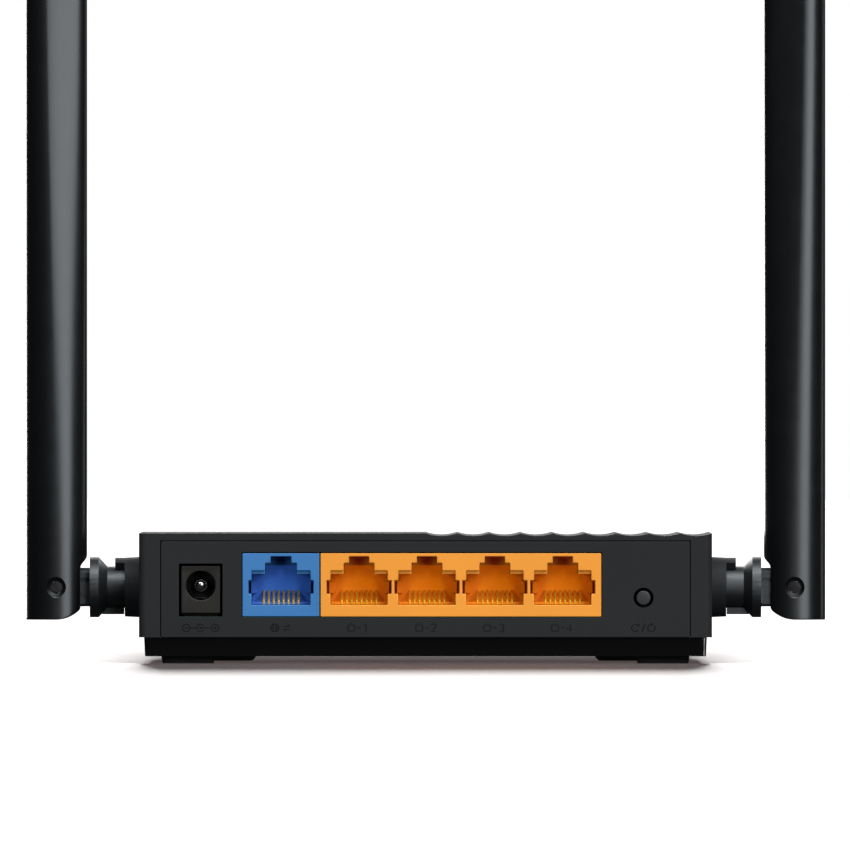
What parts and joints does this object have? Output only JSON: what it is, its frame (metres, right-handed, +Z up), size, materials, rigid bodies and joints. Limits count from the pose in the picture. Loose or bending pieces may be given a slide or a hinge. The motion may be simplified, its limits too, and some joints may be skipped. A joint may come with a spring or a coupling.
{
  "type": "wireless router",
  "caption": "Flat wireless router with a half-scalloped top, a rear row of network jacks, a power inlet, a push button and folding swivel antennas on its sides.",
  "frame": {"origin": "on the table under the middle of the case, at the bottom of the feet", "axes": "+Z up, -Y out of the port side, +X to the right when the ports face the viewer"},
  "size_m": [0.1654, 0.092, 0.1589],
  "materials": {
    "cover_plastic": "fine matt texture, dark grey",
    "base_plastic": "fine matt texture, near black",
    "foot_rubber": "matt rubber",
    "label_film": "blank satin film",
    "screw_steel": "zinc plated",
    "board_green": "green solder mask",
    "wan_blue": "moulded blue, fine texture",
    "wan_insert_blue": "moulded blue",
    "gold_contact": "gold plated",
    "lan_orange": "moulded orange, fine texture",
    "lan_insert_orange": "moulded orange",
    "jack_black": "moulded black",
    "plated_metal": "nickel plated",
    "button_grey": "satin grey",
    "light_pipe_clear": "clear moulding",
    "led_white": "diffusing lens",
    "chip_black": "moulding compound",
    "thermal_pad_grey": "soft silicone",
    "heat_sink_aluminium": "extruded, plain",
    "capacitor_sleeve": "shrink sleeve",
    "inductor_grey": "ferrite",
    "chip_part_tan": "ceramic",
    "swivel_plastic": "satin black",
    "antenna_plastic": "satin black",
    "pin_steel": "black finished",
    "radiator_board": "printed strip",
    "lead_black": "black jacket"
  },
  "bodies": {
    "root": {"top_cover": "cover_plastic", "port_panel": "cover_plastic", "bottom_case": "base_plastic", "rear_feet": "foot_rubber", "front_feet": "foot_rubber", "bottom_label": "label_film", "case_screws": "screw_steel", "main_board": "board_green", "board_screws": "screw_steel", "wan_jack_housing": "wan_blue", "wan_jack_insert": "wan_insert_blue", "wan_jack_contacts": "gold_contact", "lan_jack_housing": "lan_orange", "lan_jack_inserts": "lan_insert_orange", "lan_jack_contacts": "gold_contact", "power_jack_body": "jack_black", "power_jack_pin": "plated_metal", "power_jack_spring": "plated_metal", "switch_body": "jack_black", "switch_bracket": "plated_metal", "switch_dome": "plated_metal", "light_pipe": "light_pipe_clear", "status_leds": "led_white", "antenna_connectors": "gold_contact", "processor_chip": "chip_black", "thermal_pad": "thermal_pad_grey", "heat_sink": "heat_sink_aluminium", "radio_chip": "chip_black", "shield_can": "plated_metal", "memory_chips": "chip_black", "network_transformers": "chip_black", "electrolytic_capacitors": "capacitor_sleeve", "power_inductors": "inductor_grey", "crystals": "plated_metal", "small_chip_parts": "chip_part_tan", "left_board_lead": "lead_black", "right_board_lead": "lead_black"},
    "button": {"wps_reset_button": "button_grey"},
    "left_knuckle": {"left_swivel": "swivel_plastic"},
    "left_antenna": {"left_antenna_rear_shell": "antenna_plastic", "left_antenna_front_shell": "antenna_plastic", "left_hinge_pin": "pin_steel", "left_radiator": "radiator_board", "left_antenna_lead": "lead_black"},
    "right_knuckle": {"right_swivel": "swivel_plastic"},
    "right_antenna": {"right_antenna_rear_shell": "antenna_plastic", "right_antenna_front_shell": "antenna_plastic", "right_hinge_pin": "pin_steel", "right_radiator": "radiator_board", "right_antenna_lead": "lead_black"}
  },
  "joints": [
    {"name": "button_press", "type": "slide", "parent": "root", "child": "button", "axis": [0, 1, 0], "range_m": [0, 0.0003], "stiffness_N_per_m": 4000, "springref_m": -0.0001},
    {"name": "left_swivel_turn", "type": "hinge", "parent": "root", "child": "left_knuckle", "pos_m": [-0.0591, -0.022, 0.01565], "axis": [1, 0, 0], "range_deg": [-130, 130]},
    {"name": "left_antenna_fold", "type": "hinge", "parent": "left_knuckle", "child": "left_antenna", "pos_m": [-0.07636, -0.022, 0.01565], "axis": [0, -1, 0], "range_deg": [0, 90], "deforming": ["left_antenna_lead"]},
    {"name": "right_swivel_turn", "type": "hinge", "parent": "root", "child": "right_knuckle", "pos_m": [0.0591, -0.022, 0.01565], "axis": [1, 0, 0], "range_deg": [-130, 130]},
    {"name": "right_antenna_fold", "type": "hinge", "parent": "right_knuckle", "child": "right_antenna", "pos_m": [0.07636, -0.022, 0.01565], "axis": [0, 1, 0], "range_deg": [0, 90], "deforming": ["right_antenna_lead"]}
  ]
}
